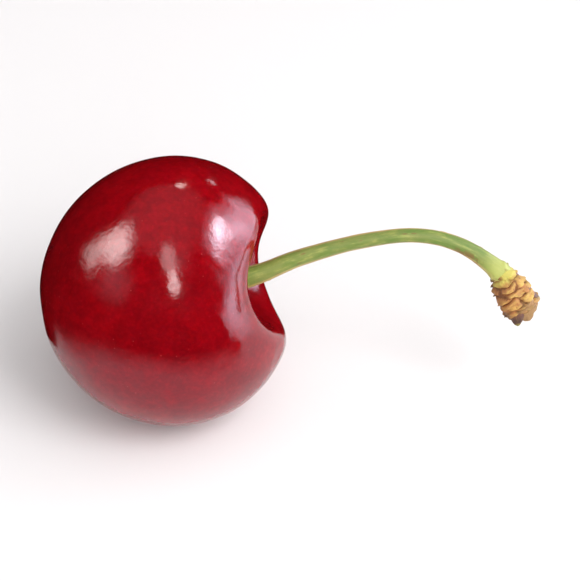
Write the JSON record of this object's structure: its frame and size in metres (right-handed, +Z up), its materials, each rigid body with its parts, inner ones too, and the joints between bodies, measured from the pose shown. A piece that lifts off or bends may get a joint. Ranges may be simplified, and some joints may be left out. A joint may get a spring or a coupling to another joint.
{
  "type": "sweet cherry on its stalk",
  "caption": "Ripe dark red sweet cherry lying on its cheek, with its arched green stalk and the woody end where the stalk came off the spur.",
  "frame": {"origin": "middle of the small flat spot on the lower cheek that the fruit rests on, on the table's surface", "axes": "+Z up from the table, +X the way the stalk leaves the fruit, +Y to the left of the stalk seen from the fruit"},
  "size_m": [0.0515, 0.0259, 0.0268],
  "materials": {
    "cherry_skin": "smooth waxy fruit skin, dark red with brighter patches, glossy",
    "green_stalk": "fresh green stalk with a pink-brown blush and pale ribs, satin",
    "woody_end": "rough tan and ochre bark in close rings, with dark dried bud scales, matt"
  },
  "bodies": {
    "root": {"fruit": "cherry_skin", "stalk": "green_stalk", "spur_end": "woody_end"}
  },
  "joints": []
}
